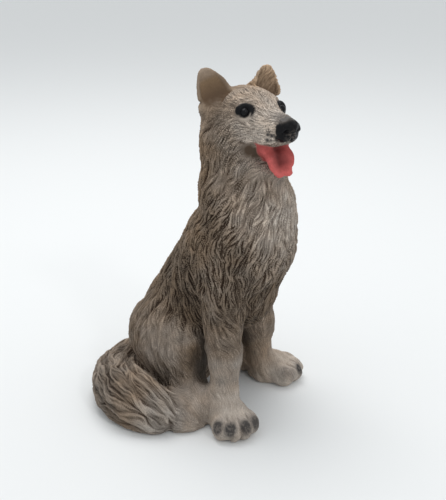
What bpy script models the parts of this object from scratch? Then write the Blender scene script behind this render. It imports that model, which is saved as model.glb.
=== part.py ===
"""Sitting husky puppy figurine: one solid resin casting with carved fur and a hanging tongue.

Sizes are in millimetres. +Z is up, the puppy looks along -Y, and its right side is at -X.
The casting rests flat on z = 0.
"""

import math

import bmesh
import bpy
import numpy as np
from mathutils import Euler, Matrix, Vector, kdtree

MM = 0.001

# Overall build
FINE_GRAIN = 0.55  # size of the cells that the forms are fused with
COARSE_GRAIN = 0.80
TRIANGLES = 11800
FINE_HOLD = 2.5
FINE_SHARE = 0.1  # how readily the head and paws are thinned, against 1 on the coat

# Trunk
CHEST_HALF_WIDTH = 13.4
CHEST_HALF_DEPTH = 15.2
RUMP_HALF_WIDTH = 12.6
RUMP_HALF_DEPTH = 10.8
NECK_HALF_WIDTH = 9.6
HAUNCH_SPREAD = 10.2

# Head, in its own frame: origin in the middle of the skull, looking along -Y
SKULL_PLACE = (0.4, -5.0, 72.0)
HEAD_TURN = (-6.0, 3.0, -15.0)  # nose raised, tipped and turned to the puppy's right
SKULL_HALF_WIDTH = 8.4
SKULL_HALF_HEIGHT = 8.0
MUZZLE_LENGTH = 14.6
EYE_SPREAD = 5.4
EYE_DEPTH = 5.5  # in front of the middle of the skull
EYE_HEIGHT = 3.1
EYE_RADIUS = 1.7
SOCKET_WIDTH = 0.7
SOCKET_DEPTH = 0.22
NOSE_HALF_WIDTH = 3.2
NOSE_HALF_HEIGHT = 3.0
EAR_HEIGHT = 8.4
EAR_HALF_WIDTH = 4.4
EAR_WALL = 2.0
EAR_CUP = 0.09
EAR_SPLAY = 1.0
EAR_TIP_OUT = 0.2
EAR_ROOT_IN = 3.0
EAR_SPREAD = 6.8
EAR_OUTLINE = (  # height and width as shares, from the root inside the skull to the tip
    (-0.5, 0.50),
    (-0.2, 0.62),
    (0.1, 0.92),
    (0.35, 1.04),
    (0.6, 0.86),
    (0.84, 0.54),
    (0.96, 0.30),
    (1.0, 0.12),
)
TONGUE_HALF_WIDTH = 4.0
TONGUE_THICKNESS = 1.4
TONGUE_CUP = 0.07
TONGUE_ASIDE = -0.4  # lolls a little to the right

# Legs
NEAR_ANKLE = (-12.0, -8.7)  # right front leg, set forward
FAR_ANKLE = (11.9, -2.0)
PAW_SPLAY = 28.0
PAW_HALF_WIDTH = 5.6
TOE_RADIUS = 2.1
HIND_FOOT_SPREAD = 15.0
LEFT_HIND_PAW_BACK = 8.0
LEFT_HIND_PAW_TURN = 6.0
HIND_PAW_SHARE = 0.88  # of a front paw's size
FORELEG_SPREAD = 9.1
NEAR_LEG_REACH = -6.6
FAR_LEG_REACH = -2.2
FORELEG_RADIUS = 3.5
WITHERS_HEIGHT = 43.0
SHOULDER_HEIGHT = 34.0
ELBOW_HEIGHT = 24.0
WRIST_HEIGHT = 10.0

# Tail: middle of each section, half height and half depth, from the rump round to the tip
TAIL = (
    (3.0, 23.0, 4.6, 4.4, 4.8),
    (-7.5, 25.8, 4.8, 4.8, 5.2),
    (-15.5, 23.6, 4.4, 4.8, 5.6),
    (-21.6, 17.0, 4.6, 5.4, 6.4),
    (-24.6, 8.6, 4.8, 6.2, 6.2),
    (-24.6, 2.6, 3.8, 5.0, 5.0),
    (-23.4, -0.9, 2.6, 3.2, 3.4),
)

TAIL_LOCKS = 6
TAIL_LOCK_RADIUS = 1.9
TAIL_TWIST = 55.0  # degrees that each lock turns about the tail on its way

# Carved fur
SEED = 11
LOCK_HALF_WIDTH = 1.7
LOCK_LENGTH = 10.0
LOCK_HEIGHT = 1.4
LOCK_SPACING = 2.5
FLOW_REACH = 6.0  # how far a guide of the coat's lie is felt
SMOOTH_FOOT = ((-21.0, -5.0), (-25.0, 5.0), 10.0)  # the right hind foot's span along x and y, and its top
SMOOTH_LEG_TOP = 20.0


def catmull_rom(rows, parts):
    """Rows of numbers resampled on a smooth curve through them."""
    rows = np.array(rows, float)
    padded = np.vstack([2 * rows[0] - rows[1], rows, 2 * rows[-1] - rows[-2]])
    out = []
    for k in range(1, len(padded) - 2):
        a, b, c, d = padded[k - 1 : k + 3]
        for t in np.linspace(0, 1, parts, endpoint=False):
            bend = (2 * a - 5 * b + 4 * c - d) * t**2 + (3 * b - a - 3 * c + d) * t**3
            out.append(0.5 * (2 * b + (c - a) * t + bend))
    out.append(rows[-1])
    return np.array(out)


def loft(stations, wide_axis=(1, 0, 0), cup=0.0, sides=28, parts=5):
    """A closed form through stations (x, y, z, half width, half depth); the width lies near wide_axis.

    A cup bends each section like a dish, by cup times the square of the distance from its middle.
    """
    rings = catmull_rom(stations, parts)
    centres = rings[:, :3]
    tangents = np.gradient(centres, axis=0)
    form = bmesh.new()
    loops = []
    for centre, tangent, (half_wide, half_deep) in zip(centres, tangents, rings[:, 3:5]):
        along = Vector(tangent).normalized()
        wide = Vector(wide_axis)
        wide = (wide - along * wide.dot(along)).normalized()
        deep = along.cross(wide)
        loop = []
        for k in range(sides):
            turn = 2 * math.pi * k / sides
            out = half_wide * math.cos(turn)
            rise = half_deep * math.sin(turn) + cup * out * out
            loop.append(form.verts.new(Vector(centre) + wide * out + deep * rise))
        loops.append(loop)
    for low, high in zip(loops, loops[1:]):
        for k in range(sides):
            form.faces.new((low[k], low[(k + 1) % sides], high[(k + 1) % sides], high[k]))
    form.faces.new(loops[0][::-1])
    form.faces.new(loops[-1])
    bmesh.ops.recalc_face_normals(form, faces=form.faces)
    return form


def ball(centre, radii, turn=(0, 0, 0)):
    """An ellipsoid, turned by Euler angles in degrees."""
    form = bmesh.new()
    place = (
        Matrix.Translation(centre)
        @ Euler([math.radians(a) for a in turn]).to_matrix().to_4x4()
        @ Matrix.Diagonal((*radii, 1))
    )
    bmesh.ops.create_icosphere(form, subdivisions=4, radius=1, matrix=place)
    return form


def moved(form, matrix):
    bmesh.ops.transform(form, matrix=matrix, verts=form.verts)
    return form


def fused(name, forms, grain, smoothing):
    """One closed skin round all the forms, with its creases softened."""
    mesh = bpy.data.meshes.new(name)
    together = bmesh.new()
    for form in forms:
        piece = bpy.data.meshes.new("piece")
        form.to_mesh(piece)
        together.from_mesh(piece)
        form.free()
        bpy.data.meshes.remove(piece)
    together.to_mesh(mesh)
    together.free()
    body = bpy.data.objects.new(name, mesh)
    bpy.context.scene.collection.objects.link(body)
    remesh = body.modifiers.new("fuse", "REMESH")
    remesh.mode = "VOXEL"
    remesh.voxel_size = grain
    soften = body.modifiers.new("soften", "SMOOTH")
    soften.factor = 0.5
    soften.iterations = smoothing
    return applied(body)


def applied(body):
    """The object with its modifiers made real."""
    graph = bpy.context.evaluated_depsgraph_get()
    made = bpy.data.meshes.new_from_object(body.evaluated_get(graph))
    old = body.data
    body.modifiers.clear()
    body.data = made
    bpy.data.meshes.remove(old)
    return body


def keep_outer_skin(form):
    """Removes every closed skin but the one with the most faces, such as that of a hollow inside."""
    left = set(form.faces)
    islands = []
    while left:
        island = [left.pop()]
        for face in island:
            for edge in face.edges:
                for other in edge.link_faces:
                    if other in left:
                        left.remove(other)
                        island.append(other)
        islands.append(island)
    islands.sort(key=len)
    inner = [face for island in islands[:-1] for face in island]
    bmesh.ops.delete(form, geom=inner, context="FACES")


def trunk_forms():
    w, d = CHEST_HALF_WIDTH, CHEST_HALF_DEPTH
    spine = [
        (0, 18.0, -2.0, RUMP_HALF_WIDTH - 1.5, RUMP_HALF_DEPTH - 2.0),
        (0, 17.2, 8.0, RUMP_HALF_WIDTH + 0.3, RUMP_HALF_DEPTH + 0.9),
        (0, 13.2, 18.0, RUMP_HALF_WIDTH, RUMP_HALF_DEPTH + 1.1),
        (0, 6.0, 27.5, w - 0.9, d - 2.6),
        (0, -0.3, 36.5, w - 0.6, d - 2.3),
        (0, -4.5, 44.0, w - 0.5, d - 2.0),
        (0, -6.2, 50.5, w - 1.8, d - 4.0),
        (0, -5.1, 56.5, NECK_HALF_WIDTH + 0.8, NECK_HALF_WIDTH + 1.4),
        (0, -4.8, 62.5, NECK_HALF_WIDTH, NECK_HALF_WIDTH),
        (0, -3.4, 69.0, NECK_HALF_WIDTH - 0.6, NECK_HALF_WIDTH - 0.2),
        (0, -2.4, 75.0, NECK_HALF_WIDTH - 2.4, NECK_HALF_WIDTH - 2.0),
    ]
    return [
        loft(spine),
        ball((0, -8.4, 45.8), (9.3, 9.0, 8.4), (14, 0, 0)),
        ball((0, -5.3, 29.5), (8.6, 7.2, 10.0), (24, 0, 0)),
    ]


def haunch_forms():
    forms = []
    for side in (-1, 1):
        hip = (side * (HAUNCH_SPREAD - 1.9), 21.0, 16.6, 5.5, 7.4)
        thigh = (side * (HAUNCH_SPREAD - 0.2), 13.0, 15.5, 6.8, 11.8)
        stifle = (side * (HAUNCH_SPREAD + 1.4), 4.0, 14.5, 5.6, 8.5)
        knee = (side * (HAUNCH_SPREAD + 1.6), -0.6, 14.5, 3.4, 5.0)
        forms.append(loft([hip, thigh, stifle, knee]))
        forms.append(ball((side * (HAUNCH_SPREAD + 1.6), 6.0, 7.0), (4.6, 6.4, 6.0)))
        heel = (side * (HIND_FOOT_SPREAD - 2.0), 16.0, 2.6, 4.6, 3.6)
        sole = (side * (HIND_FOOT_SPREAD - 0.6), 8.0, 2.6, 4.8, 3.4)
        ball_of_foot = (side * HIND_FOOT_SPREAD, 3.5, 2.6, 4.8, 3.2)
        forms.append(loft([heel, sole, ball_of_foot]))
    forms.append(ball((-14.8, 0.2, 2.4), (7.0, 7.4, 6.2), (0, 0, -35)))
    forms.append(ball((-13.2, -2.0, 5.2), (3.6, 4.2, 3.6), (0, 0, -35)))
    forms.append(ball((-19.0, -1.6, 2.0), (4.6, 4.4, 4.0)))
    return forms


def foreleg(side, reach, ankle):
    x, y = ankle
    withers = (side * (FORELEG_SPREAD - 3.0), reach + 3.4, WITHERS_HEIGHT)
    shoulder = (side * (FORELEG_SPREAD - 1.6), reach + 1.8, SHOULDER_HEIGHT)
    elbow = (side * FORELEG_SPREAD, reach + 0.4, ELBOW_HEIGHT)
    wrist = (0.4 * elbow[0] + 0.6 * x, 0.4 * elbow[1] + 0.6 * y, WRIST_HEIGHT)
    stations = [
        (*withers, FORELEG_RADIUS, FORELEG_RADIUS + 1.5),
        (*shoulder, FORELEG_RADIUS + 2.2, FORELEG_RADIUS + 3.2),
        (*elbow, FORELEG_RADIUS + 0.9, FORELEG_RADIUS + 1.2),
        (*wrist, FORELEG_RADIUS, FORELEG_RADIUS + 0.1),
        (x, y, 3.4, FORELEG_RADIUS + 0.3, FORELEG_RADIUS + 0.3),
    ]
    return loft(stations)


def paw(ankle, turn, size=1.0):
    """A paw with four toes, made looking along -Y from the ankle and then turned about it."""
    forms = [
        ball((0, -3.0, 3.3), (PAW_HALF_WIDTH - 0.7, 5.8, 4.2)),
        ball((0, -2.6, 1.4), (PAW_HALF_WIDTH - 0.8, 6.0, 2.6)),
    ]
    for spread, reach in ((-1.0, -6.3), (-0.36, -8.0), (0.36, -8.0), (1.0, -6.3)):
        x = spread * (PAW_HALF_WIDTH - TOE_RADIUS + 0.2)
        forms.append(ball((x, reach, 2.6), (TOE_RADIUS, 3.3, 3.1), (0, 0, spread * 12)))
        forms.append(ball((x * 1.04, reach - 2.8, 2.9), (0.7, 1.0, 0.9), (25, 0, spread * 12)))
    where = Matrix.Translation((ankle[0], ankle[1], 0)) @ Matrix.Rotation(math.radians(turn), 4, "Z")
    return [moved(form, where @ Matrix.Scale(size, 4)) for form in forms]


def tail_forms():
    """The tail's core, with long locks that twist round it and end at the tip."""
    forms = [loft(TAIL, wide_axis=(0, 0, 1))]
    run = catmull_rom(TAIL, 3)
    along = np.gradient(run[:, :3], axis=0)
    for lock in range(TAIL_LOCKS):
        start = math.radians(-50 + 230 * lock / (TAIL_LOCKS - 1))
        first = 4 + lock % 3
        stations = []
        for step, row in enumerate(run[first:-1]):
            share = step / (len(run) - first - 2)
            turn = start + math.radians(TAIL_TWIST) * share
            out = np.cross(along[first + step], (0, 0, 1.0))
            out /= np.linalg.norm(out)
            place = row[:3] - out * math.cos(turn) * 0.88 * row[4]
            place[2] += math.sin(turn) * 0.88 * row[3]
            swell = TAIL_LOCK_RADIUS * (0.35 + 0.65 * math.sin(math.pi * min(1, 0.15 + share)))
            stations.append((*place, swell, swell))
        forms.append(loft(stations, wide_axis=(0, 0, 1), sides=12, parts=2))
    return forms


def head_matrix():
    pitch, roll, yaw = (math.radians(angle) for angle in HEAD_TURN)
    turn = Matrix.Rotation(yaw, 4, "Z") @ Matrix.Rotation(pitch, 4, "X") @ Matrix.Rotation(roll, 4, "Y")
    return Matrix.Translation(SKULL_PLACE) @ turn


def head_forms():
    w, h = SKULL_HALF_WIDTH, SKULL_HALF_HEIGHT
    profile = [
        (0, 8.0, -1.5, 0.62 * w, 0.66 * h),
        (0, 5.0, 0.2, 0.93 * w, 0.95 * h),
        (0, 0.0, 0.8, w, h),
        (0, -4.0, 1.0, 0.90 * w, 0.84 * h),
        (0, -6.6, 0.4, 0.72 * w, 0.62 * h),
        (0, -9.4, -0.2, 0.51 * w, 0.49 * h),
        (0, 1.2 - MUZZLE_LENGTH, -0.6, 0.44 * w, 0.44 * h),
        (0, -MUZZLE_LENGTH, -0.9, 0.34 * w, 0.34 * h),
    ]
    forms = [loft(profile)]
    for side in (-1, 1):
        forms.append(ball((side * 5.2, -0.5, -3.4), (4.4, 6.4, 5.4), (0, 0, side * -20)))
        forms.append(ball((side * 4.4, -4.2, 5.0), (2.8, 2.4, 1.2), (24, 0, side * 10)))
        forms.append(ball((side * 5.6, -3.6, 1.4), (2.2, 2.8, 2.6), (0, 0, side * -24)))
        forms.append(ball((side * 2.2, -11.0, -2.2), (2.2, 3.6, 2.0), (0, 0, side * -6)))
        forms.append(ball((side * 3.9, -6.6, -3.0), (2.2, 4.2, 2.2), (-6, 0, side * -12)))
    jaw = [
        (0, 1.0, -7.2, 6.2, 4.6),
        (0, -3.6, -9.2, 6.0, 4.2),
        (0, -7.4, -10.2, 5.4, 3.4),
        (0, -10.0, -10.4, 4.2, 2.5),
        (0, -11.4, -10.5, 2.4, 1.3),
    ]
    forms.append(loft(jaw))
    forms.append(ball((0.0, -5.5, -14.4), (6.2, 5.7, 5.7)))
    place = head_matrix()
    return [moved(form, place) for form in forms]


def ear(side):
    """A cupped ear: a rounded leaf with its front hollowed, its root inside the skull."""
    rows = []
    for t, share in EAR_OUTLINE:
        aside = EAR_TIP_OUT * t * t if t > 0 else EAR_ROOT_IN * t
        wall = EAR_WALL * (0.62 - 0.2 * t)
        rows.append((side * aside, 0.5 * t, EAR_HEIGHT * t, EAR_HALF_WIDTH * share, wall))
    lean = Euler([math.radians(angle) for angle in (4, side * 17, side * EAR_SPLAY)])
    place = head_matrix() @ Matrix.Translation((side * EAR_SPREAD, 3.4, 4.8)) @ lean.to_matrix().to_4x4()
    return moved(loft(rows, cup=-EAR_CUP), place)


def tongue():
    half, thin = TONGUE_HALF_WIDTH, TONGUE_THICKNESS / 2
    path = [
        (0, -3.6, -5.0, 0.80 * half, 2.2 * thin),
        (0, -8.0, -5.6, 0.92 * half, 2.2 * thin),
        (0, -11.0, -6.1, half, 1.9 * thin),
        (0, -12.5, -7.8, 0.97 * half, 1.3 * thin),
        (0, -12.9, -9.5, 0.80 * half, thin),
        (0, -12.9, -10.5, 0.52 * half, 0.9 * thin),
        (0, -12.9, -11.0, 0.26 * half, 0.8 * thin),
    ]
    return moved(loft(path, cup=TONGUE_CUP), head_matrix() @ Matrix.Translation((TONGUE_ASIDE, 0, 0)))


def nose_and_eyes():
    nose = (NOSE_HALF_WIDTH, 2.1, NOSE_HALF_HEIGHT)
    forms = [ball((0, -MUZZLE_LENGTH - 0.3, -0.6), nose, (16, 0, 0))]
    for side in (-1, 1):
        forms.append(ball((side * EYE_SPREAD, -EYE_DEPTH, EYE_HEIGHT), (EYE_RADIUS,) * 3))
    place = head_matrix()
    return [moved(form, place) for form in forms]


# The lie of the coat on the right half: places and the way that the hair runs there
COAT = (
    ((0, 7, 66), (0, 0.3, -1)),
    ((0, 9, 56), (0, 0.35, -1)),
    ((0, 14, 48), (0, 0.5, -1)),
    ((0, 20, 36), (0, 0.5, -1)),
    ((0, 26, 24), (0, 0.4, -1)),
    ((0, 29, 12), (0, 0.1, -1)),
    ((-10, -4, 64), (-0.2, 0.1, -1)),
    ((-9, -7, 56), (-0.2, 0.6, -0.8)),
    ((-12, -1, 49), (-0.1, 0.45, -0.9)),
    ((-13, 3, 42), (0, 0, -1)),
    ((-13, 0, 35), (0, -0.45, -0.9)),
    ((-12, -4, 29), (0, -0.5, -0.85)),
    ((-12, 9, 31), (0, -0.15, -1)),
    ((-12, 6, 22), (0, -0.1, -1)),
    ((-9, 15, 37), (-0.2, 0.45, -0.9)),
    ((-10, 20, 27), (-0.3, 0.3, -0.9)),
    ((0, -16, 57), (0, -0.3, -1)),
    ((0, -20, 46), (0, 0.1, -1)),
    ((0, -16, 34), (0, 0.4, -1)),
    ((-8, -15, 49), (-0.5, 0.25, -0.85)),
    ((-9, -13, 40), (-0.15, 0.1, -1)),
    ((-11, 20, 24), (-0.3, 0.4, -0.8)),
    ((-17, 14, 17), (0, 0.3, -1)),
    ((-17, 4, 16), (0, -0.2, -1)),
    ((-16, 10, 8), (0, 0, -1)),
    ((-12, -8, 22), (0, -0.1, -1)),
    ((-12, -9, 12), (-0.1, -0.1, -1)),
    ((-15, -13, 6), (-0.45, -0.85, -0.4)),
)

# The same on the head, in its own frame
FACE = (
    ((0, -11, 3.5), (0, 1, 0.4)),
    ((0, -5, 8), (0, 1, 0.4)),
    ((0, 1, 9), (0, 1, -0.1)),
    ((0, 8, 3), (0, 0.3, -1)),
    ((-4, -11, -1), (-0.4, 1, -0.1)),
    ((-6.5, -5, 0.5), (-0.3, 0.9, -0.5)),
    ((-8.3, 0, -1), (0, 0.6, -0.8)),
    ((-7, -1, -6), (0, 0.3, -1)),
    ((-7.5, -2, 5), (-0.2, 1, 0.1)),
    ((-8.5, 5, 0), (0, 0.4, -1)),
    ((0, -8, -10), (0, 0.8, -0.6)),
)


def coat_guides():
    """Places and unit directions of the coat on both sides, the head and the tail."""
    places, ways = [], []
    head = np.array(head_matrix())
    for guides, frame in ((COAT, np.eye(4)), (FACE, head)):
        for place, way in guides:
            for side in (1, -1):
                places.append(frame[:3, :3] @ (np.array(place) * (side, 1, 1)) + frame[:3, 3])
                ways.append(frame[:3, :3] @ (np.array(way) * (side, 1, 1)))
    run = catmull_rom(TAIL, 3)[:, :3]
    places.extend(run)
    ways.extend(np.gradient(run, axis=0))
    ways = np.array(ways, float)
    return np.array(places), ways / np.linalg.norm(ways, axis=1)[:, None]


def lie_of_coat(points, normals):
    """The unit direction of the hair at each point, along the surface."""
    places, ways = coat_guides()
    apart = ((points[:, None, :] - places[None]) ** 2).sum(axis=2)
    pull = np.exp(-apart / (2 * FLOW_REACH**2)) + 1e-4 / (1 + apart)
    way = pull @ ways
    way -= normals * (way * normals).sum(axis=1)[:, None]
    return way / np.maximum(np.linalg.norm(way, axis=1), 1e-9)[:, None]


def hair_share(points):
    """How much of the carving each point takes: none on the face's features, little on the paws."""
    head = np.array(head_matrix().inverted())
    local = points @ head[:3, :3].T + head[:3, 3]
    share = np.clip((points[:, 2] - 2.0) / 5.0, 0.0, 1.0)
    on_tail = (points[:, 0] < -16) & (points[:, 1] > -2)
    share[on_tail] = 1.0
    face = np.clip((local[:, 2] + 12.0) / 4.0, 0.0, 1.0) * np.clip((3.0 - local[:, 1]) / 5.0, 0.0, 1.0)
    share *= 1.0 - 0.92 * face
    ears = (local[:, 2] > 5.5) & (np.abs(local[:, 0]) > 3.5)
    share[ears] = 0.0
    (left, right), (front, back), top = SMOOTH_FOOT
    on_foot = (points[:, 0] > left) & (points[:, 0] < right) & (points[:, 2] < top)
    on_foot &= (points[:, 1] > front) & (points[:, 1] < back)
    share[on_foot] *= 0.12
    legs = (points[:, 2] < SMOOTH_LEG_TOP) & (points[:, 1] < 1) & ~on_tail
    share[legs] *= 0.35
    return share


def carve_locks(body):
    """Raises overlapping tapered locks that follow the lie of the coat."""
    mesh = body.data
    count = len(mesh.vertices)
    points = np.empty(count * 3)
    mesh.vertices.foreach_get("co", points)
    points = points.reshape(-1, 3)
    normals = np.array([v.normal for v in mesh.vertices])
    way = lie_of_coat(points, normals)
    share = hair_share(points)
    tree = kdtree.KDTree(count)
    for k, point in enumerate(points):
        tree.insert(point, k)
    tree.balance()
    chance = np.random.default_rng(SEED)
    taken = np.zeros(count, bool)
    rise = np.zeros(count)
    for root in chance.permutation(count):
        if taken[root] or share[root] < 0.05:
            continue
        for _, k, _ in tree.find_range(points[root], LOCK_SPACING):
            taken[k] = True
        length = LOCK_LENGTH * chance.uniform(0.7, 1.2)
        height = LOCK_HEIGHT * chance.uniform(0.6, 1.0) * share[root]
        here, steps = root, 9
        place = points[root].copy()
        for step in range(steps):
            along = step / (steps - 1)
            half = LOCK_HALF_WIDTH * min(1.0, 0.55 + 1.5 * along) * (1 - along**2.2)
            if half > 0.25:
                crest = height * (0.35 + 0.65 * min(1.0, along / 0.35)) * (1 - 0.5 * along**3)
                side = np.cross(normals[here], way[here])
                for spot, k, _ in tree.find_range(place, half * 1.3):
                    off = np.array(spot) - place
                    across = abs(off @ side)
                    if across < half:
                        rise[k] = max(rise[k], crest * (1 - (across / half) ** 2))
            place = place + way[here] * (length / steps)
            spot, here, _ = tree.find(place)
            place = np.array(spot)
    moved_out = rise - 0.45 * LOCK_HEIGHT * share
    mesh.vertices.foreach_set("co", (points + normals * moved_out[:, None]).ravel())
    mesh.update()


def set_on_base(body):
    """Cuts the figure flat at z = 0."""
    form = bmesh.new()
    form.from_mesh(body.data)
    everything = form.verts[:] + form.edges[:] + form.faces[:]
    bmesh.ops.bisect_plane(
        form, geom=everything, plane_co=(0, 0, 0), plane_no=(0, 0, 1), clear_inner=True
    )
    rim = [edge for edge in form.edges if edge.is_boundary]
    bmesh.ops.holes_fill(form, edges=rim, sides=0)
    keep_outer_skin(form)
    bmesh.ops.triangulate(form, faces=form.faces)
    form.to_mesh(body.data)
    form.free()


# Hollows of the face and ears on the right half, in the head's frame: place, radius, depth
HOLLOWS = (
    ((-3.0, -8.0, 2.6), 2.0, 0.5),
    ((0.0, -7.4, 5.6), 3.0, 0.6),
    ((-4.6, -8.4, -4.0), 2.2, 0.7),
    ((-5.4, -5.4, -4.8), 2.4, 0.6),
    ((-1.5, -15.9, 0.4), 1.1, 0.5),
)


def press_hollows(body):
    """Presses the hollows of the face in, on both sides, and a groove round each eyeball."""
    head = head_matrix()
    eyes = [head @ Vector((side * EYE_SPREAD, -EYE_DEPTH, EYE_HEIGHT)) for side in (1, -1)]
    points = [(head @ Vector((x * side, y, z)), r, d) for (x, y, z), r, d in HOLLOWS for side in (1, -1)]
    moves = []
    for v in body.data.vertices:
        depth = 0.0
        for place, radius, most in points:
            near = (v.co - place).length / radius
            if near < 1:
                depth = max(depth, most * (1 - near * near) ** 2)
        from_eye = min((v.co - eye).length for eye in eyes)
        rim = (from_eye - EYE_RADIUS - SOCKET_WIDTH) / SOCKET_WIDTH
        depth = max(depth, SOCKET_DEPTH * math.exp(-rim * rim))
        moves.append(v.co - v.normal * depth)
    for v, place in zip(body.data.vertices, moves):
        v.co = place


def lightened(body):
    """The same skin with about TRIANGLES triangles, kept dense where it curves."""
    coat = body.vertex_groups.new(name="coat")
    head = head_matrix().inverted()
    for v in body.data.vertices:
        local = head @ v.co
        on_head = local.z > -11 and local.y < 4.5
        on_paws = v.co.z < 8 and v.co.y < -3
        coat.add([v.index], FINE_SHARE if on_head or on_paws else 1.0, "REPLACE")
    thin = body.modifiers.new("thin", "DECIMATE")
    thin.vertex_group = coat.name
    thin.vertex_group_factor = FINE_HOLD
    thin.ratio = TRIANGLES / (2 * len(body.data.polygons))
    return applied(body)


def centre_on_base(body):
    """Moves the middle of the footprint's box to the origin."""
    places = np.array([v.co for v in body.data.vertices])
    middle = (places.min(axis=0) + places.max(axis=0)) / 2
    body.data.transform(Matrix.Translation((-middle[0], -middle[1], 0)))


def resin():
    material = bpy.data.materials.new("painted_resin")
    material.use_nodes = True
    shader = material.node_tree.nodes["Principled BSDF"]
    shader.inputs["Base Color"].default_value = (0.33, 0.27, 0.22, 1.0)
    shader.inputs["Roughness"].default_value = 0.6
    shader.inputs["Metallic"].default_value = 0.0
    return material


def clear_scene():
    for old in list(bpy.data.objects):
        bpy.data.objects.remove(old)


def build():
    clear_scene()
    forms = trunk_forms() + haunch_forms() + tail_forms() + head_forms()
    forms.append(foreleg(-1, NEAR_LEG_REACH, NEAR_ANKLE))
    forms.append(foreleg(1, FAR_LEG_REACH, FAR_ANKLE))
    body = fused("body", forms, COARSE_GRAIN, 6)
    skin = bmesh.new()
    skin.from_mesh(body.data)
    bpy.data.objects.remove(body)
    finer = [skin, ear(-1), ear(1), tongue()] + nose_and_eyes()
    finer += paw(NEAR_ANKLE, -PAW_SPLAY) + paw(FAR_ANKLE, PAW_SPLAY)
    finer += paw((HIND_FOOT_SPREAD, LEFT_HIND_PAW_BACK), LEFT_HIND_PAW_TURN, HIND_PAW_SHARE)
    figure = fused("husky_figurine", finer, FINE_GRAIN, 2)
    press_hollows(figure)
    carve_locks(figure)
    lightened(figure)
    set_on_base(figure)
    centre_on_base(figure)
    figure.data.transform(Matrix.Scale(MM, 4))
    figure.data.materials.append(resin())
    figure.data.shade_smooth()
    return figure


build()
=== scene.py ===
"""Dresses the husky puppy figurine: the carved and painted casting, its eyes, and a plain pale stage."""

import math

import bmesh
import bpy
import numpy as np
from bpy.props import FloatProperty, FloatVectorProperty, IntProperty, PointerProperty
from mathutils import Euler, Matrix, Vector, kdtree, noise


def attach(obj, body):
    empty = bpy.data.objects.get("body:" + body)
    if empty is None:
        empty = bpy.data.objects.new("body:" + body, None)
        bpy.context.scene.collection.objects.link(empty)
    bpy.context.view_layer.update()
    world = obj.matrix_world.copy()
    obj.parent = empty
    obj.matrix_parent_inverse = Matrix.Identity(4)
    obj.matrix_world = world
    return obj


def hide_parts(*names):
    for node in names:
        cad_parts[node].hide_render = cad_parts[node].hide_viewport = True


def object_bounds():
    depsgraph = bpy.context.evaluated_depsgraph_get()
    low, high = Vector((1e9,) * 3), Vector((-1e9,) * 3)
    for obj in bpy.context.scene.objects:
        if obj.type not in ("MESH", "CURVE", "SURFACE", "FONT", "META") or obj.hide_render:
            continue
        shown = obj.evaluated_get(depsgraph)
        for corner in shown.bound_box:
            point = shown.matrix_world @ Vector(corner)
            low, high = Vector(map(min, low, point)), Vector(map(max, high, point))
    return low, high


bl_info = {
    "name": "Husky Puppy Figurine",
    "version": (1, 0, 0),
    "blender": (4, 5, 0),
    "location": "3D View > Sidebar > Figurine",
    "description": "Carves and paints the cast puppy and sets it on a plain stage",
    "category": "Object",
}

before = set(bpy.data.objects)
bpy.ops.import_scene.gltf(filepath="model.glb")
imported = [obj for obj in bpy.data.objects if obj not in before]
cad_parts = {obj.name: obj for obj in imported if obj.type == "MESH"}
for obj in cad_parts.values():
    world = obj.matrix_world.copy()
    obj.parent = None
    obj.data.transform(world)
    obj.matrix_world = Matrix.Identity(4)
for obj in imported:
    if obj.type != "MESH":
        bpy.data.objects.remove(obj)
CAD_BOX = [list(corner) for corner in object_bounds()]

MM = 0.001
CASTING = "husky_figurine"

# The photograph's camera, aimed at the middle of the figure
IMAGE = (446, 500)
CAMERA_TURN = 51.0
CAMERA_REACH = 195.0
CAMERA_HEIGHT = 116.0
AIM = (2.118, -4.869, 40.0)
FOCAL_PIXELS = 857.0
IMAGE_MIDDLE = (220.0, 251.6)

# The head's own frame: origin in the middle of the skull, looking along -Y
SKULL_PLACE = (5.418, -9.869, 72.0)
HEAD_TURN = (-6.0, 3.0, -15.0)


def camera_place():
    turn = math.radians(CAMERA_TURN)
    back = Vector((-math.sin(turn), -math.cos(turn), 0)) * CAMERA_REACH
    return Vector((AIM[0], AIM[1], 0)) + back + Vector((0, 0, CAMERA_HEIGHT))


def camera_turn():
    return (Vector(AIM) - camera_place()).to_track_quat("-Z", "Y")


def head_matrix():
    pitch, roll, yaw = (math.radians(angle) for angle in HEAD_TURN)
    turn = Matrix.Rotation(yaw, 4, "Z") @ Matrix.Rotation(pitch, 4, "X") @ Matrix.Rotation(roll, 4, "Y")
    return Matrix.Translation(SKULL_PLACE) @ turn


def smooth(low, high, value):
    """0 below low, 1 above high, and an even curve between."""
    share = np.clip((value - low) / (high - low), 0, 1)
    return share * share * (3 - 2 * share)


def bell(value, width):
    """1 at a value of 0, falling off evenly to both sides."""
    return np.exp(-((value / width) ** 2))


# Shared by the pieces


def only(*objects):
    """Selects these objects alone, the last one active."""
    if bpy.context.mode != "OBJECT":
        bpy.ops.object.mode_set(mode="OBJECT")
    bpy.ops.object.select_all(action="DESELECT")
    for one in objects:
        one.select_set(True)
        bpy.context.view_layer.objects.active = one


def finished(obj, kind, **values):
    modifier = obj.modifiers.new(kind.title(), kind)
    for name, value in values.items():
        setattr(modifier, name, value)
    only(obj)
    bpy.ops.object.modifier_apply(modifier=modifier.name)


def places_of(mesh):
    places = np.empty(len(mesh.vertices) * 3)
    mesh.vertices.foreach_get("co", places)
    return places.reshape(-1, 3) / MM


def normals_of(mesh):
    normals = np.empty(len(mesh.vertices) * 3)
    mesh.vertex_normals.foreach_get("vector", normals)
    return normals.reshape(-1, 3)


def put_places(mesh, places):
    mesh.vertices.foreach_set("co", (places * MM).ravel())
    mesh.update()


def store(mesh, name, values):
    layer = mesh.attributes.new(name, "FLOAT", "POINT")
    layer.data.foreach_set("value", np.ascontiguousarray(values, np.float32))


def in_head(places):
    inverse = np.array(head_matrix().inverted())
    return places @ inverse[:3, :3].T + inverse[:3, 3]


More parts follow.
